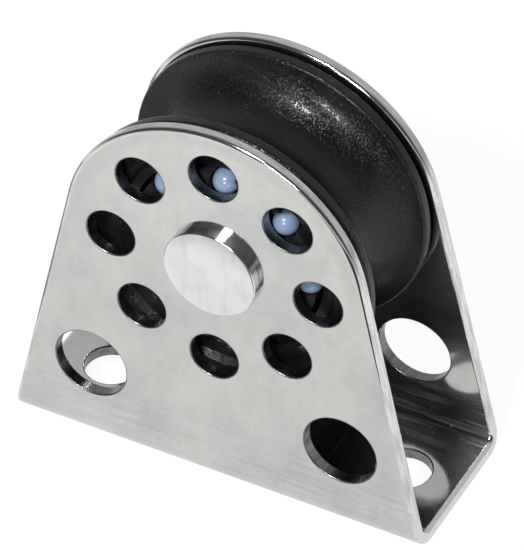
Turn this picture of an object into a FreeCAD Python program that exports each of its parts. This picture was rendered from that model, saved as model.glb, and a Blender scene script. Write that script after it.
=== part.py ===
import FreeCAD, Part
import math
import os
import Sketcher

# Upright rope block: a folded steel frame, a riveted pin and a grooved sheave that runs on two rows of balls.
# X runs along the base, Y along the pin from the front cheek to the rear one, Z up from the underside.
# Lengths are in millimetres, angles in degrees.

DIMENSIONS = {
    # Folded sheet
    "sheet": 1.5,
    "bend_inner": 1.0,
    "edge_round": 0.5,
    "rim_chamfer": 0.2,
    "frame_length": 52.8,
    "frame_depth": 20.6,
    "toe_in": 1.0,
    "pin_height": 32.0,
    "cheek_radius": 18.9,
    "blank_margin": 3.0,
    # Holes in the sheet
    "window_diameter": 6.0,
    "window_inset": 5.9,
    "window_count": 8,
    "side_hole_diameter": 9.0,
    "side_hole_inset": 10.5,
    "side_hole_height": 11.4,
    "screw_hole_diameter": 6.4,
    "screw_hole_inset": 7.4,
    # Pin
    "pin_diameter": 8.0,
    "head_diameter": 11.5,
    "head_height": 1.3,
    "head_round": 0.25,
    "seat_clearance": 0.1,
    "pin_fit": 0.03,
    # Balls and the race on the pin
    "ball_diameter": 3.2,
    "ball_row_shift": 1.8,
    "ball_inset": 1.3,
    "ball_count": 8,
    "ball_fit": 0.03,
    "track_ease": 0.15,
    "race_track_depth": 0.43,
    "race_end_gap": 0.06,
    "race_chamfer": 0.35,
    # Ball cage
    "cage_ring": 0.9,
    "cage_web_proud": 0.9,
    "cage_gap": 0.12,
    "cage_side_gap": 0.25,
    "pocket_gap": 0.15,
    # Sheave
    "sheave_inset": 0.5,
    "sheave_gap": 0.32,
    "sheave_bore_gap": 0.45,
    "lip_width": 1.6,
    "lip_round": 0.5,
    "groove_depth": 4.8,
    "recess_track_depth": 0.23,
    "hub_face_width": 1.12,
    "hub_face_step": 0.6,
    "lip_side_width": 2.3,
}


class Size:
    """A number together with the sheet expression that gives it, so that a drawing follows the sheet."""

    def __init__(self, value, text):
        self.value = value
        self.text = text

    def _join(self, other, sign, value):
        return Size(value, "(%s %s %s)" % (self.text, sign, as_size(other).text))

    def __add__(self, other):
        return self._join(other, "+", self.value + as_size(other).value)

    def __sub__(self, other):
        return self._join(other, "-", self.value - as_size(other).value)

    def __mul__(self, other):
        return self._join(other, "*", self.value * as_size(other).value)

    def __truediv__(self, other):
        return self._join(other, "/", self.value / as_size(other).value)

    def __neg__(self):
        return Size(-self.value, "(0 - %s)" % self.text)


def as_size(number):
    """A plain number as a Size."""
    return number if isinstance(number, Size) else Size(number, repr(number))


def sine(angle):
    return Size(math.sin(math.radians(angle.value)), "sin(%s)" % angle.text)


def cosine(angle):
    return Size(math.cos(math.radians(angle.value)), "cos(%s)" % angle.text)


def tangent(angle):
    return Size(math.tan(math.radians(angle.value)), "tan(%s)" % angle.text)


def root(square):
    return Size(math.sqrt(square.value), "sqrt(%s)" % square.text)


def make_sheet(doc):
    """The sheet of driving dimensions, and one Size for each of them by name."""
    sheet = doc.addObject("Spreadsheet::Sheet", "sizes")
    sizes = {}
    for row, (name, value) in enumerate(DIMENSIONS.items(), start=1):
        sheet.set("A%d" % row, name)
        sheet.set("B%d" % row, str(value))
        sheet.setAlias("B%d" % row, name)
        sizes[name] = Size(value, "sizes.%s" % name)
    return sizes


def make_body(doc, label, height=None):
    """An empty body; with a height it stands with its own Y axis on the pin's axis."""
    body = doc.addObject("PartDesign::Body", label)
    body.Label = label
    if height is not None:
        body.setExpression("Placement.Base.z", height.text)
    return body


def make_sketch(body, name, plane, height=None):
    """A sketch on one of the body's own planes; with a height its origin is moved up by that much."""
    sketch = body.newObject("Sketcher::SketchObject", name)
    support = [feature for feature in body.Origin.OriginFeatures if feature.Role == plane][0]
    sketch.AttachmentSupport = [(support, "")]
    sketch.MapMode = "FlatFace"
    if height is not None:
        sketch.setExpression("AttachmentOffset.Base.y", height.text)
    return sketch


def bind(sketch, constraint, size):
    """Adds a constraint and ties its number to the sheet."""
    index = sketch.addConstraint(constraint)
    name = "bound%d" % index
    sketch.renameConstraint(index, name)
    sketch.setExpression("Constraints." + name, size.text)


def place_point(sketch, geometry, end, across, up):
    """Fixes one end of a sketch element at (across, up) from the sketch's origin."""
    for kind, size, axis in (("DistanceX", across, -2), ("DistanceY", up, -1)):
        if as_size(size).value == 0:
            sketch.addConstraint(Sketcher.Constraint("PointOnObject", geometry, end, axis))
        else:
            bind(sketch, Sketcher.Constraint(kind, -1, 1, geometry, end, size.value), size)


def draw_circle(sketch, across, up, diameter):
    """A circle about (across, up)."""
    centre = FreeCAD.Vector(as_size(across).value, as_size(up).value, 0)
    circle = sketch.addGeometry(Part.Circle(centre, FreeCAD.Vector(0, 0, 1), diameter.value / 2))
    place_point(sketch, circle, 3, across, up)
    bind(sketch, Sketcher.Constraint("Diameter", circle, diameter.value), diameter)


def arc_between(start, end, radius, side):
    """The short arc from start to end, with its centre on the left of that way for side 1, right for -1."""
    chord = end - start
    middle = (start + end) * 0.5
    rise = math.sqrt(max(radius ** 2 - (chord.Length / 2) ** 2, 0.0))
    left = FreeCAD.Vector(-chord.y, chord.x, 0).normalize()
    centre = middle + left * rise * side
    first, last = (start, end) if side > 0 else (end, start)
    angles = [math.atan2(point.y - centre.y, point.x - centre.x) for point in (first, last)]
    return Part.ArcOfCircle(Part.Circle(centre, FreeCAD.Vector(0, 0, 1), radius), angles[0], angles[1])


def draw_outline(sketch, corners):
    """A closed outline. A corner is (across, up), or (across, up, radius, side) where an arc leaves it."""
    ends = []
    count = len(corners)
    points = [FreeCAD.Vector(as_size(corner[0]).value, as_size(corner[1]).value, 0) for corner in corners]
    for number, corner in enumerate(corners):
        start, end = points[number], points[(number + 1) % count]
        if len(corner) == 2:
            ends.append((sketch.addGeometry(Part.LineSegment(start, end)), 1, 2))
            continue
        element = sketch.addGeometry(arc_between(start, end, corner[2].value, corner[3]))
        ends.append((element, 1, 2) if corner[3] > 0 else (element, 2, 1))
        bind(sketch, Sketcher.Constraint("Radius", element, corner[2].value), corner[2])
    for number, corner in enumerate(corners):
        before, here = ends[number - 1], ends[number]
        sketch.addConstraint(Sketcher.Constraint("Coincident", before[0], before[2], here[0], here[1]))
        place_point(sketch, here[0], here[1], as_size(corner[0]), as_size(corner[1]))


def revolve(body, sketch, groove=False):
    """Turns a sketch once about the sketch's own horizontal axis, which is the pin's axis."""
    kind = "Groove" if groove else "Revolution"
    feature = body.newObject("PartDesign::" + kind, sketch.Name + "_turned")
    feature.Profile = sketch
    feature.ReferenceAxis = (sketch, ["H_Axis"])
    feature.Angle = 360
    return feature


def pocket_through(body, sketch, name):
    """Cuts a sketch through the body both ways."""
    pocket = body.newObject("PartDesign::Pocket", name)
    pocket.Profile = sketch
    pocket.Type = "ThroughAll"
    pocket.Midplane = True
    return pocket


def polar(body, feature, sketch, count):
    """Repeats a feature round the normal through the sketch's origin."""
    pattern = body.newObject("PartDesign::PolarPattern", feature.Name + "_pattern")
    pattern.Originals = [feature]
    pattern.Axis = (sketch, ["N_Axis"])
    pattern.Angle = 360
    pattern.setExpression("Occurrences", count.text)
    body.Tip = pattern
    return pattern


def cheek_outer(size, height):
    """How far the outer face of a cheek stands from the middle plane at a height above the underside."""
    return size["frame_depth"] / 2 - height * tangent(size["toe_in"])


def cheek_inner(size, height):
    """The same for the inner face."""
    return cheek_outer(size, height) - size["sheet"] / cosine(size["toe_in"])


def fold_section(size):
    """The folded sheet seen along X: base, two bends and two cheeks that lean in by the toe-in."""
    top = size["pin_height"] + size["cheek_radius"] + size["blank_margin"]
    half_turn = tangent((size["toe_in"] + 90) / 2)
    outer_bend = size["bend_inner"] + size["sheet"]
    outer_run = outer_bend * half_turn
    inner_run = size["bend_inner"] * half_turn
    inner_corner = cheek_inner(size, size["sheet"])
    lean, rise = sine(size["toe_in"]), cosine(size["toe_in"])
    right = [
        (size["frame_depth"] / 2 - outer_run, as_size(0)),
        (size["frame_depth"] / 2 - outer_run * lean, outer_run * rise),
        (cheek_outer(size, top), top),
        (cheek_inner(size, top), top),
        (inner_corner - inner_run * lean, size["sheet"] + inner_run * rise),
        (inner_corner - inner_run, size["sheet"]),
    ]
    left = [(-across, up) for across, up in reversed(right)]
    corners = right + left
    corners[0] = corners[0] + (outer_bend, 1)
    corners[4] = corners[4] + (size["bend_inner"], -1)
    corners[6] = corners[6] + (size["bend_inner"], -1)
    corners[10] = corners[10] + (outer_bend, 1)
    return corners


def taper_angle(size):
    """How far the frame's straight sides lean from upright, in radians, to touch the round top."""
    reach, height = size["frame_length"].value / 2, size["pin_height"].value
    return math.atan2(reach, height) - math.asin(size["cheek_radius"].value / math.hypot(reach, height))


def draw_cheek_outline(sketch, size):
    """What is trimmed off the folded blank: all outside two straight tapers that run into a round top."""
    reach, margin = size["frame_length"] / 2, size["blank_margin"]
    wide = reach + margin * 2
    low, high = -(margin * 2), size["pin_height"] + size["cheek_radius"] + margin * 2
    draw_outline(sketch, [(-wide, low), (wide, low), (wide, high), (-wide, high)])
    radius, height = size["cheek_radius"].value, size["pin_height"].value
    turn = taper_angle(size)
    touch = FreeCAD.Vector(radius * math.cos(turn), height + radius * math.sin(turn), 0)
    foot = FreeCAD.Vector(reach.value + margin.value * math.tan(turn), -margin.value, 0)
    left_touch, left_foot = [FreeCAD.Vector(-point.x, point.y, 0) for point in (touch, foot)]
    circle = Part.Circle(FreeCAD.Vector(0, height, 0), FreeCAD.Vector(0, 0, 1), radius)
    arc = sketch.addGeometry(Part.ArcOfCircle(circle, turn, math.pi - turn))
    left = sketch.addGeometry(Part.LineSegment(left_touch, left_foot))
    floor = sketch.addGeometry(Part.LineSegment(left_foot, foot))
    right = sketch.addGeometry(Part.LineSegment(foot, touch))
    sketch.addConstraint(Sketcher.Constraint("Tangent", arc, 2, left, 1))
    sketch.addConstraint(Sketcher.Constraint("Tangent", right, 2, arc, 1))
    sketch.addConstraint(Sketcher.Constraint("Coincident", left, 2, floor, 1))
    sketch.addConstraint(Sketcher.Constraint("Coincident", floor, 2, right, 1))
    sketch.addConstraint(Sketcher.Constraint("Horizontal", floor))
    bind(sketch, Sketcher.Constraint("DistanceY", -1, 1, floor, 1, -margin.value), -margin)
    place_point(sketch, arc, 3, 0, size["pin_height"])
    bind(sketch, Sketcher.Constraint("Radius", arc, radius), size["cheek_radius"])
    for side, across in ((left, -reach), (right, reach)):
        corner = sketch.addGeometry(Part.Point(FreeCAD.Vector(across.value, 0, 0)), True)
        place_point(sketch, corner, 1, across, 0)
        sketch.addConstraint(Sketcher.Constraint("PointOnObject", corner, 1, side))


def sheared_edges(blank, size):
    """The edges left where the outline was cut, without those where the tapers run into the round top."""
    names = []
    centre, radius = size["pin_height"].value, size["cheek_radius"].value
    taper = taper_angle(size)
    near = 1e-3
    for number, edge in enumerate(blank.Shape.Edges, start=1):
        middle = edge.valueAt((edge.FirstParameter + edge.LastParameter) / 2)
        across, up = abs(middle.x), middle.z - centre
        on_taper = abs(across * math.cos(taper) + up * math.sin(taper) - radius) < near
        on_top = abs(math.hypot(across, up) - radius) < near
        if on_taper != on_top:
            names.append("Edge%d" % number)
    return names


def hole_rims(punched, size):
    """The rims of the holes punched in the sheet, on both of its faces."""
    names = []
    holes = ("side_hole_diameter", "window_diameter", "screw_hole_diameter")
    largest = max(size[name].value for name in holes) * 1.1
    for number, edge in enumerate(punched.Shape.Edges, start=1):
        if edge.isClosed() and size["sheet"].value < edge.BoundBox.XLength < largest:
            names.append("Edge%d" % number)
    return names


def make_frame(doc, size):
    """The folded sheet, trimmed to its outline, punched, and with its cut edges rounded."""
    body = make_body(doc, "frame")
    section = make_sketch(body, "fold", "YZ_Plane")
    draw_outline(section, fold_section(size))
    folded = body.newObject("PartDesign::Pad", "folded_sheet")
    folded.Profile = section
    folded.Midplane = True
    folded.setExpression("Length", (size["frame_length"] + size["blank_margin"] * 2).text)
    outline = make_sketch(body, "outline", "XZ_Plane")
    draw_cheek_outline(outline, size)
    trimmed = pocket_through(body, outline, "trimmed")
    doc.recompute()
    rounded = body.newObject("PartDesign::Fillet", "rounded_edges")
    rounded.Base = (trimmed, sheared_edges(trimmed, size))
    rounded.setExpression("Radius", size["edge_round"].text)

    window = make_sketch(body, "window", "XZ_Plane", size["pin_height"])
    draw_circle(window, 0, size["cheek_radius"] - size["window_inset"], size["window_diameter"])
    windows = pocket_through(body, window, "window_cut")
    polar(body, windows, window, size["window_count"])

    side = make_sketch(body, "side_holes", "XZ_Plane")
    side_reach = size["frame_length"] / 2 - size["side_hole_inset"]
    for reach in (-side_reach, side_reach):
        draw_circle(side, reach, size["side_hole_height"], size["side_hole_diameter"])
    pocket_through(body, side, "side_hole_cut")

    screws = make_sketch(body, "screw_holes", "XY_Plane")
    screw_reach = size["frame_length"] / 2 - size["screw_hole_inset"]
    for reach in (-screw_reach, screw_reach):
        draw_circle(screws, reach, 0, size["screw_hole_diameter"])
    punched = pocket_through(body, screws, "screw_hole_cut")
    doc.recompute()

    chamfered = body.newObject("PartDesign::Chamfer", "hole_rims")
    chamfered.Base = (punched, hole_rims(punched, size))
    chamfered.setExpression("Size", size["rim_chamfer"].text)

    bore = make_sketch(body, "pin_hole", "YZ_Plane", size["pin_height"])
    radius = size["pin_diameter"] / 2
    seat = size["head_diameter"] / 2 + size["seat_clearance"]
    inside, outside = head_seat(size), size["frame_depth"] / 2 + size["blank_margin"]
    draw_outline(bore, [
        (-outside, as_size(0)),
        (outside, as_size(0)),
        (outside, seat),
        (inside, seat),
        (inside, radius),
        (-inside, radius),
        (-inside, seat),
        (-outside, seat),
    ])
    revolve(body, bore, groove=True)
    return body


def head_seat(size):
    """Where the pin's heads bear: flats pressed square to the pin just into the leaning cheeks."""
    return cheek_outer(size, size["pin_height"] + size["head_diameter"] / 2)


def make_pin(doc, size):
    """The pin with its two heads, its front head turned and its rear one riveted over."""
    body = make_body(doc, "axle_pin", size["pin_height"])
    profile = make_sketch(body, "pin_profile", "YZ_Plane")
    seat = head_seat(size)
    end = seat + size["head_height"]
    shank, head, edge = size["pin_diameter"] / 2, size["head_diameter"] / 2, size["head_round"]
    draw_outline(profile, [
        (-end, as_size(0)),
        (end, as_size(0)),
        (end, head - edge, edge, 1),
        (end - edge, head),
        (seat, head),
        (seat, shank),
        (-seat, shank),
        (-seat, head),
        (-(end - edge), head, edge, 1),
        (-end, head - edge),
    ])
    revolve(body, profile)
    return body


def sheave_rim(size):
    """The sheave's radius: its rim stays a little below the round top of the cheeks."""
    return size["cheek_radius"] - size["sheave_inset"]


def sheave_side(size):
    """How far the sheave's sides stand from the middle plane: clear of the cheeks at the sheave's top."""
    return cheek_inner(size, size["pin_height"] + sheave_rim(size)) - size["sheave_gap"]


def ball_offset(size):
    """How far each row of balls stands from the middle plane."""
    return sheave_side(size) - size["ball_inset"]


def ball_pitch(size):
    """The radius of each ring of balls, a little outside the middle of the wall between pin and groove."""
    groove_floor = sheave_rim(size) - size["lip_round"] - size["groove_depth"]
    return (size["pin_diameter"] / 2 + groove_floor) / 2 + size["ball_row_shift"]


def track_radius(size):
    """The radius of a track's section, a little more than a ball's."""
    return size["ball_diameter"] / 2 + size["track_ease"]


def race_floor(size):
    """The radius at the bottom of the inner tracks."""
    return ball_pitch(size) - size["ball_diameter"] / 2 - size["ball_fit"]


def race_shoulder(size):
    """The radius of the race beside its tracks."""
    return race_floor(size) + size["race_track_depth"]


def recess_roof(size):
    """The radius at the bottom of the outer tracks, which is the farthest from the pin."""
    return ball_pitch(size) + size["ball_diameter"] / 2 + size["ball_fit"]


def recess_wall(size):
    """The radius of the sheave's side recess, beside its track."""
    return recess_roof(size) - size["recess_track_depth"]


def recess_floor(size):
    """How far from the middle plane the sheave's side recess starts, behind the balls and the cage's ring."""
    behind_balls = ball_offset(size) - size["ball_diameter"] / 2 - size["cage_gap"]
    return behind_balls - size["cage_ring"] - size["cage_gap"]


def track_mouth(size, depth):
    """Half the width of a ball track where it opens, at that depth above its bottom."""
    rise = track_radius(size) - depth
    return root(track_radius(size) * track_radius(size) - rise * rise)


def make_race(doc, size):
    """The sleeve on the pin, with a track for each row of balls."""
    body = make_body(doc, "inner_race", size["pin_height"])
    profile = make_sketch(body, "race_profile", "YZ_Plane")
    bore = size["pin_diameter"] / 2 + size["pin_fit"]
    shoulder, bevel, offset = race_shoulder(size), size["race_chamfer"], ball_offset(size)
    end = cheek_inner(size, size["pin_height"] + shoulder) - size["race_end_gap"]
    mouth = track_mouth(size, size["race_track_depth"])
    draw_outline(profile, [
        (-end, bore),
        (end, bore),
        (end, shoulder - bevel),
        (end - bevel, shoulder),
        (offset + mouth, shoulder, track_radius(size), -1),
        (offset - mouth, shoulder),
        (-(offset - mouth), shoulder, track_radius(size), -1),
        (-(offset + mouth), shoulder),
        (-(end - bevel), shoulder),
        (-end, shoulder - bevel),
    ])
    revolve(body, profile)
    return body


def make_sheave(doc, size):
    """The rope wheel: round groove, rounded lips, and sides stepped down to half-open tracks for the balls."""
    body = make_body(doc, "sheave", size["pin_height"])
    profile = make_sketch(body, "sheave_profile", "YZ_Plane")
    side, rim, lip = sheave_side(size), sheave_rim(size), size["lip_round"]
    recess, offset = recess_wall(size), ball_offset(size)
    groove_half, depth = side - size["lip_width"], size["groove_depth"]
    groove_radius = (groove_half * groove_half + depth * depth) / (depth * 2)
    hub_face, step = recess_roof(size) + size["hub_face_width"], size["hub_face_step"]
    dish = offset + step
    lip_side = rim - size["lip_side_width"]
    right = [
        (recess_floor(size), race_shoulder(size) + size["sheave_bore_gap"]),
        (recess_floor(size), recess),
        (offset - track_mouth(size, size["recess_track_depth"]), recess, track_radius(size), -1),
        (offset, recess_roof(size)),
        (offset, hub_face),
        (dish, hub_face + step),
        (dish, lip_side - (side - dish)),
        (side, lip_side),
        (side, rim - lip, lip, 1),
        (side - lip, rim),
        (groove_half + lip, rim, lip, 1),
        (groove_half, rim - lip),
    ]
    left = [(-corner[0], corner[1]) for corner in reversed(right)]
    for number, corner in enumerate(right):
        left[len(right) - 2 - number] += corner[2:]
    right[-1] += (groove_radius, -1)
    draw_outline(profile, right + left)
    revolve(body, profile)
    return body


def make_cage(doc, size, label, side):
    """A crown cage: a thin ring behind the balls and a web between each two. side is -1 or 1 along Y."""
    body = make_body(doc, label, size["pin_height"])
    profile = make_sketch(body, label + "_profile", "YZ_Plane")
    near = recess_floor(size) + size["cage_gap"]
    shelf = near + size["cage_ring"]
    far = ball_offset(size) + size["cage_web_proud"]
    inner = race_shoulder(size) + size["cage_side_gap"]
    outer = recess_wall(size) - size["cage_side_gap"]
    draw_outline(profile, [
        (near * side, inner),
        (near * side, outer),
        (far * side, outer),
        (far * side, inner),
    ])
    revolve(body, profile)
    pocket_sketch = make_sketch(body, label + "_pocket", "XZ_Plane")
    draw_circle(pocket_sketch, 0, ball_pitch(size), size["ball_diameter"] + size["pocket_gap"] * 2)
    pocket_sketch.setExpression("AttachmentOffset.Base.z", (-(shelf * side)).text)
    pocket = body.newObject("PartDesign::Pocket", label + "_pocket_cut")
    pocket.Profile = pocket_sketch
    pocket.Type = "Length"
    pocket.Reversed = side < 0
    pocket.setExpression("Length", far.text)
    polar(body, pocket, pocket_sketch, size["ball_count"])
    return body


def make_balls(doc, size, label, side):
    """One row of balls, evenly spaced in the cage's pockets. side is -1 or 1 along Y."""
    balls = []
    pitch = ball_pitch(size).text
    for number in range(DIMENSIONS["ball_count"]):
        ball = doc.addObject("Part::Sphere", "%s_%d" % (label, number + 1))
        ball.setExpression("Radius", (size["ball_diameter"] / 2).text)
        angle = "(90 + 360 * %d / sizes.ball_count)" % number
        ball.setExpression("Placement.Base.x", "%s * cos(%s)" % (pitch, angle))
        ball.setExpression("Placement.Base.y", (ball_offset(size) * side).text)
        ball.setExpression("Placement.Base.z", "sizes.pin_height + %s * sin(%s)" % (pitch, angle))
        balls.append(ball)
    row = doc.addObject("Part::Compound", label)
    row.Label = label
    row.Links = balls
    return row


def check_and_write(doc, pieces):
    """Stops on any failed object or bad solid, then writes each piece to its own file."""
    doc.recompute()
    for item in doc.Objects:
        if "Invalid" in item.State or "Error" in item.State:
            raise RuntimeError("%s failed: %s" % (item.Name, item.State))
    os.makedirs("parts", exist_ok=True)
    for piece in pieces:
        shape = piece.Shape
        if shape.isNull() or not shape.isValid() or not shape.Solids:
            raise RuntimeError("%s has no valid solid" % piece.Label)
        print("%-16s solids %d  volume %.1f mm3" % (piece.Label, len(shape.Solids), shape.Volume))
        shape.exportStep("parts/%s.step" % piece.Label)


document = FreeCAD.newDocument("vertical_block")
measures = make_sheet(document)
check_and_write(document, [
    make_frame(document, measures),
    make_pin(document, measures),
    make_race(document, measures),
    make_sheave(document, measures),
    make_cage(document, measures, "ball_cage_front", -1),
    make_cage(document, measures, "ball_cage_rear", 1),
    make_balls(document, measures, "balls_front", -1),
    make_balls(document, measures, "balls_rear", 1),
])
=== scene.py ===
import math

import bpy
import numpy as np
from mathutils import Matrix, Vector
from mathutils.geometry import delaunay_2d_cdt


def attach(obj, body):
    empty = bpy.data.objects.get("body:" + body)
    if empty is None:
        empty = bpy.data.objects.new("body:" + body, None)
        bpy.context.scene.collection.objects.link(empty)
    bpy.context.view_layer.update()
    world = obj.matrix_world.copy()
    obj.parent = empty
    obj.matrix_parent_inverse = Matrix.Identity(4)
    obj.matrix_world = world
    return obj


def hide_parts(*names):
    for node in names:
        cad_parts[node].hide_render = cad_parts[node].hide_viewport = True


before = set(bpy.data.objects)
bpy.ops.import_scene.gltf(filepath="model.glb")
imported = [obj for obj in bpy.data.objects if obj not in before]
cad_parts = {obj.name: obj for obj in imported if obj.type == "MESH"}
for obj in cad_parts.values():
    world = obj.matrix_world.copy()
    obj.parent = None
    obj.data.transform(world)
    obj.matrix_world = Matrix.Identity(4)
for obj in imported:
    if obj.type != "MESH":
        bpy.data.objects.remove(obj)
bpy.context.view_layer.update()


# The frame is one stainless sheet, sheared to a taper with a round top, punched, polished, and folded twice
# into a U whose cheeks lean in a little. Its cut edges are rounded over and keep a few torn specks.

MM = 0.001
SHEET = 1.5
BEND_INSIDE = 1.0
BEND_CENTRE = BEND_INSIDE + SHEET
FRAME_DEPTH = 20.6
FRAME_LENGTH = 52.8
LEAN = math.radians(1.0)
PIN_HEIGHT = 32.0
ROUND_TOP = 18.9
EDGE_ROUND = 0.5
WINDOW_RING, WINDOW_RADIUS, WINDOW_COUNT = 13.0, 3.0, 8
SIDE_HOLE_RADIUS, SIDE_HOLE_REACH, SIDE_HOLE_HEIGHT = 4.5, 15.9, 11.4
SCREW_HOLE_RADIUS, SCREW_HOLE_REACH = 3.2, 19.0
HOLE_ROUND = 0.18
HEAD_RADIUS, SHANK_RADIUS, HEAD_GAP = 5.75, 4.0, 0.03
HEAD_SEAT = FRAME_DEPTH / 2 - (PIN_HEIGHT + HEAD_RADIUS) * math.tan(LEAN)
TAPER = (math.atan2(FRAME_LENGTH / 2, PIN_HEIGHT)
         - math.asin(ROUND_TOP / math.hypot(FRAME_LENGTH / 2, PIN_HEIGHT)))
WINDOWS = [(WINDOW_RING * math.cos(a), PIN_HEIGHT + WINDOW_RING * math.sin(a), WINDOW_RADIUS)
           for a in 2 * math.pi * np.arange(WINDOW_COUNT) / WINDOW_COUNT]
SIDE_HOLES = [(reach, SIDE_HOLE_HEIGHT, SIDE_HOLE_RADIUS) for reach in (-SIDE_HOLE_REACH, SIDE_HOLE_REACH)]
SCREW_HOLES = [(reach, 0, SCREW_HOLE_RADIUS) for reach in (-SCREW_HOLE_REACH, SCREW_HOLE_REACH)]
FACES = ((0.0, 1), (SHEET, -1))
SHARP_CORNER = 1.55
FACE_MARK, EDGE_MARK, HOLE_MARK = 0, 1, 2
SIDE_STEPS, BEND_STEPS, BASE_STEPS, TOP_STEPS = 16, 14, 14, 160
HOLE_STEPS, ACROSS_STEPS, ROUND_STEPS = 72, 40, 8
ACROSS = np.linspace(-1, 1, ACROSS_STEPS + 1)


class Shell:
    """Gathers patches of surface, in millimetres with exact normals, and welds them into one closed mesh."""

    def __init__(self):
        self.points, self.normals, self.faces, self.marks = [], [], [], []

    def patch(self, points, normals, faces, mark=FACE_MARK):
        """Adds points (n, 3), a normal for each, and faces (m, 4), where a triangle repeats its last corner.
        The mark is the number of their material."""
        start = sum(len(block) for block in self.points)
        self.points.append(points)
        self.normals.append(normals / np.linalg.norm(normals, axis=1, keepdims=True))
        self.faces.append(faces + start)
        self.marks.append(np.full(len(faces), mark))

    def grid(self, points, normals, mark=FACE_MARK):
        """Adds a surface of two parameters: points (rows, columns, 3) joined by quads to their neighbours."""
        rows, columns = points.shape[:2]
        index = np.arange(rows * columns).reshape(rows, columns)
        quads = np.stack([index[:-1, :-1], index[1:, :-1], index[1:, 1:], index[:-1, 1:]], axis=-1)
        self.patch(points.reshape(-1, 3), normals.reshape(-1, 3), quads.reshape(-1, 4), mark)

    def build(self, name, materials):
        """Welds equal points, turns each face to agree with its normals, and drops corners that coincide."""
        points, normals = np.concatenate(self.points), np.concatenate(self.normals)
        faces, marks = np.concatenate(self.faces), np.concatenate(self.marks)
        weld = 1e-5
        keys = np.round(points / weld).astype(np.int64)
        _, first, same = np.unique(keys, axis=0, return_index=True, return_inverse=True)
        same = same.ravel()
        corner = points[faces]
        turn = np.cross(corner[:, 2] - corner[:, 0], corner[:, 3] - corner[:, 1])
        repeated = faces[:, 2] == faces[:, 3]
        turn[repeated] = np.cross(corner[:, 1] - corner[:, 0], corner[:, 2] - corner[:, 0])[repeated]
        inside_out = np.einsum("ij,ij->i", turn, normals[faces].sum(axis=1)) < 0
        faces[inside_out] = faces[inside_out][:, ::-1]
        welded = same[faces]
        keep = welded != np.roll(welded, -1, axis=1)
        whole = keep.sum(axis=1) >= 3
        keep &= whole[:, None]
        totals = keep.sum(axis=1)[whole]
        loops, loop_normals = welded[keep], normals[faces[keep]]
        mesh = bpy.data.meshes.new(name)
        mesh.vertices.add(len(first))
        mesh.vertices.foreach_set("co", (points[first] * MM).astype(np.float32).ravel())
        mesh.loops.add(len(loops))
        mesh.loops.foreach_set("vertex_index", loops.astype(np.int32))
        mesh.polygons.add(len(totals))
        mesh.polygons.foreach_set("loop_start", (np.cumsum(totals) - totals).astype(np.int32))
        mesh.polygons.foreach_set("material_index", marks[whole].astype(np.int32))
        mesh.polygons.foreach_set("use_smooth", np.ones(len(totals), dtype=bool))
        mesh.update(calc_edges=True)
        mesh.normals_split_custom_set(loop_normals.astype(np.float32))
        for material in materials:
            mesh.materials.append(material)
        piece = bpy.data.objects.new(name, mesh)
        bpy.context.scene.collection.objects.link(piece)
        return piece


def stack(*parts):
    """Joins coordinates into points along a last axis, spreading plain numbers over the others."""
    return np.stack(np.broadcast_arrays(*parts), axis=-1).astype(float)


def cheek_face(height, depth):
    """How far a cheek's surface, at that depth into the sheet, stands from the middle plane at a height."""
    return FRAME_DEPTH / 2 - height * math.tan(LEAN) - depth / math.cos(LEAN)


def half_width(height):
    """Half the frame's width on its straight taper: the line that touches the round top."""
    return (ROUND_TOP - (height - PIN_HEIGHT) * math.sin(TAPER)) / math.cos(TAPER)


def bend_place():
    """How far the bends' centre lines stand from the middle plane: one outer radius inside both faces."""
    return FRAME_DEPTH / 2 - BEND_CENTRE * (1 + math.sin(LEAN)) / math.cos(LEAN)


def half_section(depth, inset):
    """From the taper's top down a cheek, round its bend and along the base to the middle: y, z and the normal.
    Depth is how far into the sheet, and inset lowers the top end to meet the round top's rounded corner."""
    radius = BEND_CENTRE - depth
    top, foot = PIN_HEIGHT + ROUND_TOP * math.sin(TAPER), BEND_CENTRE + radius * math.sin(LEAN)
    share = np.linspace(0, 1, SIDE_STEPS + 1)
    rise = top - (top - foot) * share - inset * math.sin(TAPER) * (1 - share)
    angle = np.linspace(LEAN, -math.pi / 2, BEND_STEPS + 1)[1:]
    along = np.linspace(bend_place(), 0, BASE_STEPS // 2 + 1)[1:]
    y = np.concatenate([cheek_face(rise, depth), bend_place() + radius * np.cos(angle), along])
    z = np.concatenate([rise, BEND_CENTRE + radius * np.sin(angle), np.full(len(along), depth)])
    tilt = np.concatenate([np.full(len(rise), LEAN), angle, np.full(len(along), -math.pi / 2)])
    return y, z, np.cos(tilt), np.sin(tilt)


def edge_line(depth, inset):
    """The whole sheared outline, once round the folded sheet, at one depth and set in from the cut by inset:
    points, the sheet's own normal there, and the cut wall's normal."""
    y, z, ny, nz = half_section(depth, inset)
    x = half_width(z) - inset / math.cos(TAPER)
    front = stack(x, -y, z)
    front_normal = stack(0, -ny, nz)
    mirror_y, mirror_x = np.array([1, -1, 1]), np.array([-1, 1, 1])
    right = np.concatenate([front, front[-2::-1] * mirror_y])
    right_normal = np.concatenate([front_normal, front_normal[-2::-1] * mirror_y])
    sweep = np.linspace(TAPER, math.pi - TAPER, TOP_STEPS + 1)
    height = PIN_HEIGHT + (ROUND_TOP - inset) * np.sin(sweep)
    rear_top = stack((ROUND_TOP - inset) * np.cos(sweep), cheek_face(height, depth), height)
    rear_normal = stack(0 * sweep, math.cos(LEAN), math.sin(LEAN))
    top_wall = stack(np.cos(sweep), 0, np.sin(sweep))
    side_wall = np.broadcast_to([math.cos(TAPER), 0, math.sin(TAPER)], right.shape)
    pairs = (right, rear_top), (right_normal, rear_normal), (side_wall, top_wall)
    half = [np.concatenate(pair) for pair in pairs]
    flip = mirror_y * mirror_x
    points, normals, walls = [np.concatenate([part, part * flip, part[:1]]) for part in half]
    return points, normals, walls


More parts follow.
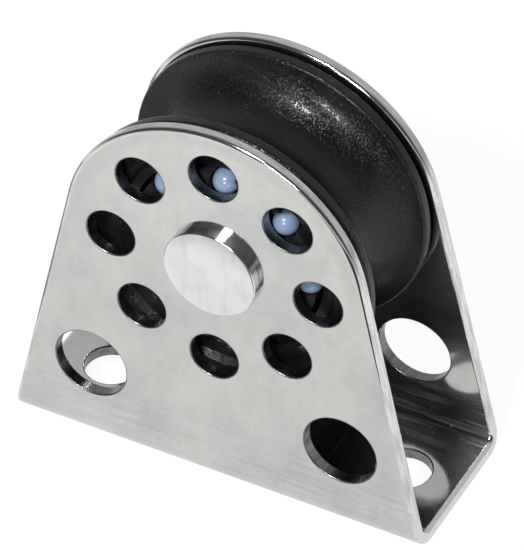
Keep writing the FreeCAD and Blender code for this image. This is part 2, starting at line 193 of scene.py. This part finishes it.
def rolled_edge(outer, inner, rounding):
    """Rows of points and normals over a cut edge, from one face of the sheet to the other. At each corner the
    point runs from the face to the wall as C + (1 - sin a)(A - C) + (1 - cos a)(B - C) for a from 0 to 90, and
    B lies farther down the wall where the corner is sharper than a right angle."""
    rows, normals = [], []
    angle = np.linspace(0, math.pi / 2, ROUND_STEPS + 1)
    through = inner[0] - outer[0]
    through = through / np.linalg.norm(through, axis=1, keepdims=True) * rounding
    for (corner, face, normal, wall), way, order in ((outer, through, angle), (inner, -through, angle[::-1])):
        sharper = np.maximum(1, 1 - SHARP_CORNER * np.sum(normal * wall, axis=1, keepdims=True))
        for a in order:
            rows.append(corner + (1 - math.sin(a)) * (face - corner) + (1 - math.cos(a)) * sharper * way)
            normals.append(math.cos(a) * normal + math.sin(a) * wall)
    return np.stack(rows, axis=1), np.stack(normals, axis=1)


def ring(centre, radius):
    """Points of a circle in a plane face."""
    angle = np.linspace(0, 2 * math.pi, HOLE_STEPS, endpoint=False)
    return np.array(centre) + radius * stack(np.cos(angle), np.sin(angle))


def closed(*loops):
    """Repeats the first row of each loop at its end."""
    return [np.concatenate([loop, loop[:1]]) for loop in loops]


def flat_face(shell, outline, holes, lift, depth, normal):
    """A plane patch with round holes, each given as two places and a radius: outline and holes are triangulated
    flat, and lift gives the flat points their place at that depth into the sheet."""
    rings = [outline] + [ring((a, b), radius) for a, b, radius in holes]
    flat = np.concatenate(rings)
    starts = np.cumsum([0] + [len(points) for points in rings])
    edges = np.concatenate([np.stack([np.arange(a, b), np.roll(np.arange(a, b), -1)], axis=1)
                            for a, b in zip(starts[:-1], starts[1:])])
    _, _, triangles, source, _, _ = delaunay_2d_cdt(flat.tolist(), edges.tolist(), [], 1, 1e-9)
    place = flat[[origin[0] for origin in source]]
    triangles = np.array(triangles)
    middle = place[triangles].mean(axis=1)
    for a, b, radius in holes:
        outside = np.linalg.norm(middle - (a, b), axis=1) > radius
        triangles, middle = triangles[outside], middle[outside]
    points = lift(place, depth)
    shell.patch(points, np.broadcast_to(normal, points.shape), triangles[:, [0, 1, 2, 2]])


def widened(holes):
    """The same holes at the face, where their rounding ends."""
    return [(a, b, radius + HOLE_ROUND) for a, b, radius in holes]


def hole_walls(shell, holes, axes, lift, normal):
    """The walls of round holes, rounded at both ends. The holes' places run along the two axes, lift gives the
    place of flat points at a depth, and normal belongs to the outer face."""
    circle = ring((0, 0), 1.0)
    wall = np.zeros((len(circle), 3))
    wall[:, axes] = -circle
    for a, b, radius in holes:
        sides = []
        for depth, out in FACES:
            rim, face = [lift((a, b) + reach * circle, depth) for reach in (radius, radius + HOLE_ROUND)]
            sides.append(closed(rim, face, np.broadcast_to(out * np.array(normal), wall.shape), wall))
        shell.grid(*rolled_edge(*sides, HOLE_ROUND), mark=HOLE_MARK)


def pin_seat(shell, side, lift):
    """The step in a cheek that a pin head stands in, and the bore for the shank through the rest of it."""
    seat_ring, bore_ring = ring((0, PIN_HEIGHT), HEAD_RADIUS + HEAD_GAP), ring((0, PIN_HEIGHT), SHANK_RADIUS)
    seat, bore = [stack(flat[:, 0], side * HEAD_SEAT, flat[:, 1]) for flat in (seat_ring, bore_ring)]
    circle = ring((0, 0), 1.0)
    inward = stack(-circle[:, 0], 0, -circle[:, 1])
    level = np.broadcast_to([0, side, 0], seat.shape)
    for first, second, normal in (
        (lift(seat_ring, 0.0), seat, inward),
        (seat, bore, level),
        (bore, lift(bore_ring, SHEET), inward),
    ):
        shell.grid(*closed(np.stack([first, second], axis=1), np.stack([normal, normal], axis=1)))


def cheek(shell, side):
    """One cheek, in front for side -1: the walls of its holes, the pin's seat, and its outer and inner face."""
    def lift(flat, depth):
        """Gives flat points (x, z) their place on the cheek."""
        return stack(flat[:, 0], side * cheek_face(flat[:, 1], depth), flat[:, 1])

    normal = np.array([0, side * math.cos(LEAN), math.sin(LEAN)])
    hole_walls(shell, WINDOWS + SIDE_HOLES, [0, 2], lift, normal)
    pin_seat(shell, side, lift)
    for depth, out in FACES:
        _, z, _, _ = half_section(depth, EDGE_ROUND)
        x = half_width(z) - EDGE_ROUND / math.cos(TAPER)
        line = stack(x[:SIDE_STEPS + 1], z[:SIDE_STEPS + 1])
        sweep = np.linspace(TAPER, math.pi - TAPER, TOP_STEPS + 1)[1:-1]
        reach = ROUND_TOP - EDGE_ROUND
        top = stack(reach * np.cos(sweep), PIN_HEIGHT + reach * np.sin(sweep))
        foot = stack(x[SIDE_STEPS] * ACROSS[1:-1], z[SIDE_STEPS])
        outline = np.concatenate([line[::-1], top, line * [-1, 1], foot])
        middle_hole = (0, PIN_HEIGHT, HEAD_RADIUS + HEAD_GAP if depth == 0.0 else SHANK_RADIUS)
        flat_face(shell, outline, widened(WINDOWS + SIDE_HOLES) + [middle_hole], lift, depth, out * normal)


def bends_and_base(shell):
    """Both faces of the two bends, as cylinders, and of the base with its screw holes."""
    def lift(flat, depth):
        """Gives flat points (x, y) their place on the base."""
        return stack(flat[:, 0], flat[:, 1], depth)

    normal = np.array([0, 0, -1])
    for depth, out in FACES:
        y, z, ny, nz = half_section(depth, EDGE_ROUND)
        x = half_width(z) - EDGE_ROUND / math.cos(TAPER)
        bend = slice(SIDE_STEPS, SIDE_STEPS + BEND_STEPS + 1)
        for side in (-1, 1):
            points = stack(x[bend, None] * ACROSS, side * y[bend, None], z[bend, None])
            shell.grid(points, stack(0, side * out * ny[bend, None] + 0 * ACROSS, out * nz[bend, None]))
        run = y[SIDE_STEPS + BEND_STEPS:]
        end = np.concatenate([run, -run[-2::-1]])
        reach = x[-1]
        outline = np.concatenate([
            stack(reach, end),
            stack(reach * ACROSS[-2:0:-1], end[-1]),
            stack(-reach, end[::-1]),
            stack(reach * ACROSS[1:-1], end[0]),
        ])
        flat_face(shell, outline, widened(SCREW_HOLES), lift, depth, out * normal)
    hole_walls(shell, SCREW_HOLES, [0, 1], lift, normal)


def folded_sheet():
    """The whole frame: every cut edge rolled over, two cheeks with their holes, and the bends and base."""
    shell = Shell()
    sides = []
    for depth, out in FACES:
        corner, normal, wall = edge_line(depth, 0)
        face, _, _ = edge_line(depth, EDGE_ROUND)
        sides.append((corner, face, normal * out, wall))
    shell.grid(*rolled_edge(*sides, EDGE_ROUND), mark=EDGE_MARK)
    for side in (-1, 1):
        cheek(shell, side)
    bends_and_base(shell)
    return shell


# The haze tint is a painted reflection colour: a cool grey standing in for bluish light the dull sheen
# reflects.
HAZE_PAINTED_TINT, HAZE_ROUGHNESS = (0.38, 0.385, 0.45, 1), 0.45


class Signal:
    """One value inside a material, so that shader maths reads as plain expressions."""

    def __init__(self, paint, socket):
        self.paint = paint
        self.socket = socket

    def _math(self, operation, *values):
        return self.paint.node("ShaderNodeMath", {"operation": operation}, dict(enumerate(values)))

    def __add__(self, other):
        return self._math("ADD", self, other)

    def __sub__(self, other):
        return self._math("SUBTRACT", self, other)

    def __rsub__(self, other):
        return self._math("SUBTRACT", other, self)

    def __mul__(self, other):
        return self._math("MULTIPLY", self, other)

    def __pow__(self, other):
        return self._math("POWER", self, other)

    __radd__ = __add__
    __rmul__ = __mul__

    def above(self, low, high):
        """Rises smoothly from 0 at low to 1 at high."""
        return self.paint.node("ShaderNodeMapRange", {"interpolation_type": "SMOOTHSTEP"},
                               {"Value": self, "From Min": low, "From Max": high})


class Paint:
    """The nodes of one material, or of the room round the part."""

    def __init__(self, owner):
        owner.use_nodes = True
        self.owner = owner
        self.tree = owner.node_tree
        self.tree.nodes.clear()

    def node(self, kind, settings, inputs, output=0):
        """Adds a node, sets it up, feeds its sockets by name or number, and gives one of its outputs."""
        made = self.tree.nodes.new(kind)
        for name, value in settings.items():
            setattr(made, name, value)
        for name, value in inputs.items():
            if isinstance(value, Signal):
                self.tree.links.new(value.socket, made.inputs[name])
            else:
                made.inputs[name].default_value = value
        return Signal(self, made.outputs[output]) if made.outputs else None

    def surface(self, haze=None, **sockets):
        """Ends a material in one shader, whose sockets are named with underscores for spaces. With haze, that
        share of the surface reflects dully, and a little cooler by a painted reflection tint."""
        named = {name.replace("_", " "): value for name, value in sockets.items()}
        shader = self.node("ShaderNodeBsdfPrincipled", {}, named)
        if haze is not None:
            cool = {"Base Color": self.mix(0.5, named["Base Color"], HAZE_PAINTED_TINT), "Roughness": HAZE_ROUGHNESS}
            dull = self.node("ShaderNodeBsdfPrincipled", {}, {**named, **cool})
            shader = self.node("ShaderNodeMixShader", {}, {0: haze, 1: shader, 2: dull})
        self.node("ShaderNodeOutputMaterial", {}, {"Surface": shader})
        return self.owner

    def place(self, stretch=(1, 1, 1), turn=(0, 0, 0)):
        """The piece's own coordinates in metres, turned and stretched."""
        here = self.node("ShaderNodeTexCoord", {}, {}, "Object")
        return self.node("ShaderNodeMapping", {}, {"Vector": here, "Rotation": turn, "Scale": stretch})

    def axis(self, name):
        """One of the piece's own coordinates in metres."""
        return self.node("ShaderNodeSeparateXYZ", {}, {0: self.place()}, name)

    def from_pin(self):
        """Distance from the pin's axis in metres."""
        x, z = self.axis("X"), self.axis("Z") - PIN_HEIGHT * MM
        return (x * x + z * z) ** 0.5

    def noise(self, scale, detail=2.0, rough=0.5, stretch=(1, 1, 1), turn=(0, 0, 0)):
        """Cloudy noise from 0 to 1, with about scale blobs to the metre."""
        settings = {"Vector": self.place(stretch, turn), "Scale": scale, "Detail": detail, "Roughness": rough}
        return self.node("ShaderNodeTexNoise", {}, settings)

    def mix(self, share, first, second):
        """A colour from first to second by share."""
        return self.node("ShaderNodeMix", {"data_type": "RGBA"}, {0: share, 6: first, 7: second}, 2)

    def bump(self, height, distance, strength=1.0):
        """A normal from a height from 0 to 1, over a distance in metres."""
        return self.node("ShaderNodeBump", {}, {"Height": height, "Distance": distance, "Strength": strength})


def scratches(paint, turn, density, width=2600.0):
    """Thin lines that run one way: noise drawn out long, kept only at its crests and broken up by patches."""
    lines = paint.noise(width, 1.0, 0.5, (1, 0.012, 1), turn).above(0.70, 0.76)
    patches = paint.noise(160.0, 1.0).above(1 - density, 1.15 - density)
    return lines * patches


def polished_sheet():
    """Stainless sheet polished to a dull mirror: cloudy greenish grey, a darker ring inside the round top that
    is a painted dark reflection, fine scratches, and dull drawn lines where the cheeks meet the bends."""
    paint = Paint(bpy.data.materials.new("polished_sheet"))
    clouds = paint.noise(85.0, 4.0, 0.6)
    smears = paint.noise(420.0, 3.0, 0.6, (1, 1, 0.45), (0, 0.5, 0))
    fine = paint.noise(5200.0, 2.0, 0.6)
    height, reach = paint.axis("Z"), paint.from_pin()
    low, base = 1 - height.above(0.0045, 0.0095), 1 - height.above(0.0016, 0.0028)
    round_top = height.above(0.030, 0.036)
    # A darker ring just inside the round top's rolled edge: a painted dark reflection.
    painted_dark_ring = reach.above(0.0162, 0.0176) * (1 - reach.above(0.0179, 0.0186)) * round_top
    lines = (scratches(paint, (0.3, 0.2, 0.1), 0.48) + scratches(paint, (1.2, 0.5, 0.4), 0.42)
             + scratches(paint, (0.1, 0.9, 0.0), 0.56) * (low * 2.6 + 0.3))
    drawn = paint.noise(1700.0, 3.0, 0.6, (0.05, 1, 1)).above(0.42, 0.68) * height.above(0.001, 0.003)
    drawn = drawn * (1 - height.above(0.005, 0.012)) * paint.noise(130.0, 2.0).above(0.3, 0.6)
    tone = (drawn * 0.16 + fine * 0.12 + clouds.above(0.3, 0.72) * 0.65
            + smears.above(0.35, 0.7) * 0.35 + painted_dark_ring * 0.5)
    return paint.surface(
        haze=(0.08 + clouds.above(0.35, 0.7) * 0.13 + lines * 0.3 + drawn * 0.42) * (1 - base * 0.8),
        Metallic=1.0,
        Base_Color=paint.mix(tone, (0.70, 0.715, 0.685, 1), (0.59, 0.60, 0.575, 1)),
        Roughness=0.055 + clouds * 0.05 + fine * 0.02 + lines * 0.12,
        Normal=paint.bump(fine * 0.5 + lines, 0.000004, 0.25),
    )


def sheared_edge():
    """The cut edges, polished smooth, with drag lines along them and a few torn specks on one taper."""
    paint = Paint(bpy.data.materials.new("sheared_edge"))
    grain = paint.noise(1500.0, 3.0, 0.6)
    drag = paint.noise(2400.0, 2.0, 0.5, (0.12, 1, 0.12)).above(0.38, 0.68)
    tapers, upright = paint.axis("X").above(0.012, 0.017), paint.axis("Z").above(0.003, 0.006)
    specks = paint.noise(4200.0, 1.0, 0.4).above(0.72, 0.76) * tapers
    dark = specks + drag * upright * 0.32 + grain * 0.12
    return paint.surface(
        Metallic=1.0,
        Base_Color=paint.mix(dark, (0.78, 0.78, 0.76, 1), (0.20, 0.20, 0.20, 1)),
        Roughness=0.07 + grain * 0.06 + specks * 0.2,
        Normal=paint.bump(grain * 0.5 - specks * 0.5, 0.000012, 0.3),
    )


def punched_wall():
    """The walls of the holes: duller steel than the faces, painted much darker as painted shade, with faint
    streaks where the punch passed.
    """
    paint = Paint(bpy.data.materials.new("punched_wall"))
    streaks = paint.noise(2600.0, 2.0, 0.55, (1, 0.08, 1))
    return paint.surface(
        Metallic=1.0,
        # The walls' dark colour is painted shade; the streaks that vary it are the punch's marks.
        Base_Color=paint.mix(streaks.above(0.35, 0.65), (0.25, 0.25, 0.245, 1), (0.17, 0.17, 0.175, 1)),
        Roughness=0.2 + streaks * 0.16,
        Normal=paint.bump(streaks, 0.000004, 0.2),
    )


sheet = folded_sheet().build("folded_frame", [polished_sheet(), sheared_edge(), punched_wall()])
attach(sheet, "frame_body")
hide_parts("frame")


# The pin is turned stainless bar. Its two flat heads stand on seats in the cheeks, with a small rounded edge,
# and show the lathe's rings faintly on their faces.

PIN_END = HEAD_SEAT + 1.3
HEAD_ROUND = 0.25
PIN_STEPS = 160


def straight(start, end, normal, steps=1):
    """A straight stretch of a turned profile from start to end as (radius, y), with its outward normal."""
    points = np.array(start) + (np.array(end) - np.array(start)) * np.linspace(0, 1, steps + 1)[:, None]
    return points, np.broadcast_to(normal, points.shape)


def curved(centre, radius, start, end, steps=8, hollow=False):
    """A round stretch about centre between two angles in degrees, measured from outwards towards +Y."""
    angle = np.radians(np.linspace(start, end, steps + 1))
    away = stack(np.cos(angle), np.sin(angle))
    return np.array(centre) + radius * away, -away if hollow else away


def mirrored(stretches):
    """The same profile on the other side of the middle plane."""
    return [(points * [1, -1], normal * [1, -1]) for points, normal in stretches]


def turned(half, steps):
    """Half a profile and its mirror image carried round the pin: radius r at angle a goes to
    (r cos a, y, pin height + r sin a)."""
    shell = Shell()
    angle = np.linspace(0, 2 * math.pi, steps + 1)[:, None]
    for profile, normal in half + mirrored(half):
        points = stack(profile[:, 0] * np.cos(angle), profile[:, 1], PIN_HEIGHT + profile[:, 0] * np.sin(angle))
        shell.grid(points, stack(normal[:, 0] * np.cos(angle), normal[:, 1], normal[:, 0] * np.sin(angle)))
    return shell


def pin_profile():
    """Half the pin's profile, from the middle of a head's face to the middle of the shank."""
    shoulder, rim = HEAD_RADIUS - HEAD_ROUND, PIN_END - HEAD_ROUND
    return [
        straight((0, PIN_END), (shoulder, PIN_END), (0, 1), 24),
        curved((shoulder, rim), HEAD_ROUND, 90, 0),
        straight((HEAD_RADIUS, rim), (HEAD_RADIUS, HEAD_SEAT), (1, 0)),
        straight((HEAD_RADIUS, HEAD_SEAT), (SHANK_RADIUS, HEAD_SEAT), (0, -1)),
        straight((SHANK_RADIUS, HEAD_SEAT), (SHANK_RADIUS, 0), (1, 0), 6),
    ]


def turned_steel():
    """Bright turned steel: faint straight streaks over the faces, light wear, and painted dark reflections: a
    greyer upper rim and darker streaks along the heads' sides.
    """
    paint = Paint(bpy.data.materials.new("turned_steel"))
    wear = paint.noise(380.0, 3.0, 0.5)
    streaks = paint.noise(1300.0, 2.0, 0.5, (1, 1, 0.12), (0, 0.55, 0))
    # Painted dark reflection: a lilac-grey band on the heads' upper rims.
    rim = paint.from_pin().above(0.0030, 0.0056) * paint.axis("Z").above(0.0335, 0.0368)
    # Painted dark reflection: streaks along the heads' sides, running with the pin's axis.
    side = paint.noise(1100.0, 3.0, 0.6, (1, 0.06, 1)).above(0.42, 0.62)
    side = side * paint.from_pin().above(0.00568, 0.00574)
    # The darkening sums painted reflections (rim, side) with real wear and streaks.
    dark = rim * 0.5 + side * 0.45 + wear.above(0.4, 0.75) * 0.2 + streaks.above(0.5, 0.75) * 0.15
    return paint.surface(
        Metallic=1.0,
        Base_Color=paint.mix(dark, (0.84, 0.845, 0.83, 1), (0.40, 0.40, 0.45, 1)),
        Roughness=0.05 + wear * 0.04 + streaks * 0.03,
        Normal=paint.bump(streaks, 0.000004, 0.25),
    )


pin = turned(pin_profile(), PIN_STEPS).build("riveted_pin", [turned_steel()])
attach(pin, "frame_body")
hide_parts("axle_pin")


# The sheave is moulded in black plastic with a satin grain. A round groove carries the rope between two
# rounded lips, and each side is stepped down to a half-open track for the balls.

SHEAVE_SIDE = 7.6
SHEAVE_RIM = 18.4
LIP_ROUND = 0.5
GROOVE_HALF = 6.0
GROOVE_DEPTH = 4.8
BALL_RADIUS, BALL_PITCH, BALL_PLACE, BALL_COUNT = 1.6, 10.35, 6.3, 8
TRACK_RADIUS = 1.75
BALL_FIT = 0.03
RECESS_FLOOR = 3.56
RECESS_WALL = 11.75
SHEAVE_BORE = 9.6
HUB_FACE = 13.1
HUB_STEP = 0.6
DISH_RADIUS = 15.4
SHEAVE_STEPS = 240


def sheave_profile():
    """Half the wheel's profile, from the groove's middle over a lip and down one side to the bore's middle."""
    groove = (GROOVE_HALF ** 2 + GROOVE_DEPTH ** 2) / (2 * GROOVE_DEPTH)
    groove_centre = SHEAVE_RIM - LIP_ROUND - GROOVE_DEPTH + groove
    groove_end = math.degrees(math.asin(GROOVE_HALF / groove))
    dish = BALL_PLACE + HUB_STEP
    dish_edge = DISH_RADIUS + SHEAVE_SIDE - dish
    track_centre = BALL_PITCH + BALL_RADIUS + BALL_FIT - TRACK_RADIUS
    mouth = math.degrees(math.acos((RECESS_WALL - track_centre) / TRACK_RADIUS))
    shoulder, lip = SHEAVE_RIM - LIP_ROUND, SHEAVE_SIDE - LIP_ROUND
    track_start = BALL_PLACE - TRACK_RADIUS * math.sin(math.radians(mouth))

    return [
        curved((groove_centre, 0), groove, 180, 180 - groove_end, 40, hollow=True),
        curved((shoulder, GROOVE_HALF + LIP_ROUND), LIP_ROUND, -90, 0),
        straight((SHEAVE_RIM, GROOVE_HALF + LIP_ROUND), (SHEAVE_RIM, lip), (1, 0)),
        curved((shoulder, lip), LIP_ROUND, 0, 90),
        straight((shoulder, SHEAVE_SIDE), (dish_edge, SHEAVE_SIDE), (0, 1), 4),
        straight((dish_edge, SHEAVE_SIDE), (DISH_RADIUS, dish), (-1, 1)),
        straight((DISH_RADIUS, dish), (HUB_FACE + HUB_STEP, dish), (0, 1), 4),
        straight((HUB_FACE + HUB_STEP, dish), (HUB_FACE, BALL_PLACE), (-1, 1)),
        straight((HUB_FACE, BALL_PLACE), (track_centre + TRACK_RADIUS, BALL_PLACE), (0, 1), 2),
        curved((track_centre, BALL_PLACE), TRACK_RADIUS, 0, -mouth, hollow=True),
        straight((RECESS_WALL, track_start), (RECESS_WALL, RECESS_FLOOR), (-1, 0)),
        straight((RECESS_WALL, RECESS_FLOOR), (SHEAVE_BORE, RECESS_FLOOR), (0, 1), 2),
        straight((SHEAVE_BORE, RECESS_FLOOR), (SHEAVE_BORE, 0), (-1, 0), 2),
    ]


def grained_black():
    """Black moulded plastic: a fine satin grain that breaks highlights up, cloudy wear and a few scuffs."""
    paint = Paint(bpy.data.materials.new("grained_black"))
    clouds = paint.noise(140.0, 3.0, 0.55)
    grain = paint.noise(4900.0, 1.0, 0.5).above(0.42, 0.74)
    scuffs = scratches(paint, (0.7, 0.2, 1.1), 0.36)
    pale = clouds.above(0.3, 0.75) + scuffs * 0.5
    return paint.surface(
        Specular_IOR_Level=0.36,
        Base_Color=paint.mix(pale, (0.005, 0.005, 0.007, 1), (0.015, 0.013, 0.013, 1)),
        Roughness=0.14 + clouds * 0.1 + scuffs * 0.1,
        Normal=paint.bump(grain, 0.000038, 0.8),
    )


sheave = turned(sheave_profile(), SHEAVE_STEPS).build("rope_sheave", [grained_black()])
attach(sheave, "wheel")
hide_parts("sheave")


# Eight plastic balls run in each row, between a track in the sheave's side and one on the race. They are
# smooth, pale blue and a little glossy.

BALL_STEPS = 48


def ball_row(side):
    """Spheres evenly round the pin: each point is its ball's centre plus the ball's radius times its normal."""
    shell = Shell()
    turn = np.linspace(0, 2 * math.pi, BALL_STEPS + 1)[:, None]
    tilt = np.linspace(-math.pi / 2, math.pi / 2, BALL_STEPS // 2 + 1)
    normal = stack(np.cos(turn) * np.cos(tilt), np.sin(tilt), np.sin(turn) * np.cos(tilt))
    for a in 2 * math.pi * np.arange(BALL_COUNT) / BALL_COUNT + math.pi / 2:
        centre = (BALL_PITCH * math.cos(a), side * BALL_PLACE, PIN_HEIGHT + BALL_PITCH * math.sin(a))
        shell.grid(np.array(centre) + BALL_RADIUS * normal, normal)
    return shell


def pale_blue_plastic():
    """Smooth pale blue plastic with faint mottling."""
    paint = Paint(bpy.data.materials.new("pale_blue_plastic"))
    mottle = paint.noise(900.0, 3.0, 0.5)
    return paint.surface(
        Base_Color=paint.mix(mottle.above(0.3, 0.7), (0.22, 0.31, 0.47, 1), (0.27, 0.37, 0.53, 1)),
        Roughness=0.18 + mottle * 0.1,
    )


blue = pale_blue_plastic()
for side, place in ((-1, "front"), (1, "rear")):
    row = ball_row(side).build("ball_row_" + place, [blue])
    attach(row, place + "_row")
    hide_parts("balls_" + place)


# Each row of balls is kept apart by a crown cage, and runs on a sleeve round the pin. All three are plain
# moulded plastic, seen only through the round windows.

def plain_moulding(name, colour):
    """Dark moulded plastic with a soft sheen and slight clouding."""
    paint = Paint(bpy.data.materials.new(name))
    clouds = paint.noise(300.0, 3.0, 0.55)
    return paint.surface(
        Base_Color=paint.mix(clouds.above(0.3, 0.7), (*colour, 1), (*(1.4 * value for value in colour), 1)),
        Roughness=0.16 + clouds * 0.14,
        Normal=paint.bump(paint.noise(3000.0, 2.0), 0.00001, 0.3),
    )


cage_grey = plain_moulding("cage_moulding", (0.022, 0.022, 0.026))
race_black = plain_moulding("race_moulding", (0.018, 0.018, 0.02))
mouldings = ("ball_cage_front", cage_grey), ("ball_cage_rear", cage_grey), ("inner_race", race_black)
for node, material in mouldings:
    for material_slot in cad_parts[node].material_slots:
        material_slot.material = material


# A white table lies under the part. It shows as white to the camera and in metal, with painted shade in
# metal close to the part and far off, and so does the room behind, while the room in front is dark but for
# two lamps. Two grey cards on the table, unseen themselves, shade the pin's right-hand side and the frame's
# left-hand edges.

FLOOR_SIZE = 3.0


def table_top():
    """A white table: it shows its own light to the camera, and in reflections too, where painted shade makes
    it darker close to the part, as a painted shadow of the part, and darker far off."""
    paint = Paint(bpy.data.materials.new("white_table"))
    camera_ray, glossy_ray = [paint.node("ShaderNodeLightPath", {}, {}, ray)
                              for ray in ("Is Camera Ray", "Is Glossy Ray")]
    x, y = paint.axis("X"), paint.axis("Y")
    reach = (x * x + y * y) ** 0.5
    # Painted shade for reflections only: a painted shadow of the part close by, and darker far off.
    painted_shade = 0.23 - reach.above(0.03, 0.07) * 0.16 + reach.above(0.09, 0.30) * 0.6
    glow = paint.node("ShaderNodeEmission", {}, {"Strength": 1.14 - glossy_ray * painted_shade})
    paper = paint.node("ShaderNodeBsdfDiffuse", {}, {"Color": (0.8, 0.8, 0.8, 1)})
    blend = paint.node("ShaderNodeMixShader", {}, {0: (camera_ray + glossy_ray) * 0.8, 1: paper, 2: glow})
    paint.node("ShaderNodeOutputMaterial", {}, {"Surface": blend})
    return paint.owner


def grey_card(name, tone):
    """Matt grey card of one tone with a faint mottle."""
    paint = Paint(bpy.data.materials.new(name))
    mottled = paint.mix(paint.noise(40.0), (tone, tone, tone, 1), (1.2 * tone, 1.2 * tone, 1.2 * tone, 1))
    card = paint.node("ShaderNodeBsdfDiffuse", {}, {"Color": mottled})
    paint.node("ShaderNodeOutputMaterial", {}, {"Surface": card})
    return paint.owner


def flat_sheet(name, corners, material):
    """A flat four-cornered sheet from its corners in metres."""
    mesh = bpy.data.meshes.new(name)
    mesh.from_pydata(corners.tolist(), [], [(0, 1, 2, 3)])
    mesh.materials.append(material)
    laid = bpy.data.objects.new(name, mesh)
    bpy.context.scene.collection.objects.link(laid)
    return laid


flat_sheet("table", FLOOR_SIZE / 2 * np.array([(-1, -1, 0), (1, -1, 0), (1, 1, 0), (-1, 1, 0)]), table_top())
right_card = MM * np.array([(16, -37, 0.5), (-24, -91, 0.5), (136, -210, 0.5), (176, -156, 0.5)])
left_card = MM * np.array([(-44, -30, 0.5), (-44, 12, 0.5), (-130, 60, 0.5), (-130, -30, 0.5)])
for name, card, tone in (("right_card", right_card, 0.05), ("left_card", left_card, 0.36)):
    flat_sheet(name, card, grey_card(name, tone)).visible_camera = False

room = Paint(bpy.data.worlds.new("studio"))
bpy.context.scene.world = room.owner
direction = room.node("ShaderNodeTexCoord", {}, {}, "Generated")
toward_back = room.node("ShaderNodeSeparateXYZ", {}, {0: direction}, "Y")
seen = room.node("ShaderNodeLightPath", {}, {}, "Is Camera Ray")
glow = 0.10 + toward_back.above(-0.25, 0.35) * 0.6
strength = room.node("ShaderNodeMath", {"operation": "MAXIMUM"}, {0: glow, 1: seen})
background = room.node("ShaderNodeBackground", {}, {"Strength": strength})
room.node("ShaderNodeOutputWorld", {}, {"Surface": background})


def soft_lamp(name, toward, distance, width, height, watts):
    """A soft lamp of a width and height in metres, in a direction from the part, turned to face it."""
    lamp = bpy.data.lights.new(name, "AREA")
    lamp.shape = "RECTANGLE"
    lamp.size, lamp.size_y = width, height
    lamp.energy = watts
    holder = bpy.data.objects.new(name, lamp)
    aim = Vector(toward).normalized()
    holder.location = Vector((0, 0, PIN_HEIGHT * MM)) + aim * distance
    holder.rotation_mode = "QUATERNION"
    holder.rotation_quaternion = aim.to_track_quat("Z", "Y")
    bpy.context.scene.collection.objects.link(holder)


soft_lamp("key_lamp", (0.0, -0.68, 0.73), 0.7, 0.15, 0.07, 3.2)
soft_lamp("low_strip_lamp", (0.13, -0.94, 0.30), 0.7, 0.17, 0.04, 1.7)


# The camera looks down on the part from its front left, from far enough for an almost parallel view.

AZIMUTH, ELEVATION, ROLL = math.radians(28.02), math.radians(41.96), math.radians(-0.60)
TARGET = Vector((2.72, -3.46, 27.18)) * MM
DISTANCE = 0.7156
LENS = 418.9

level_right = Vector((math.cos(AZIMUTH), math.sin(AZIMUTH), 0))
level_forward = Vector((-math.sin(AZIMUTH), math.cos(AZIMUTH), 0))
forward = level_forward * math.cos(ELEVATION) - Vector((0, 0, math.sin(ELEVATION)))
right = level_right * math.cos(ROLL) + level_right.cross(forward) * math.sin(ROLL)
camera_data = bpy.data.cameras.new("camera")
camera_data.lens = LENS
camera = bpy.data.objects.new("camera", camera_data)
turn = Matrix((right, right.cross(forward), -forward)).transposed()
camera.matrix_world = Matrix.Translation(TARGET - forward * DISTANCE) @ turn.to_4x4()
bpy.context.scene.collection.objects.link(camera)
bpy.context.scene.camera = camera
bpy.context.scene.view_settings.view_transform = "Standard"
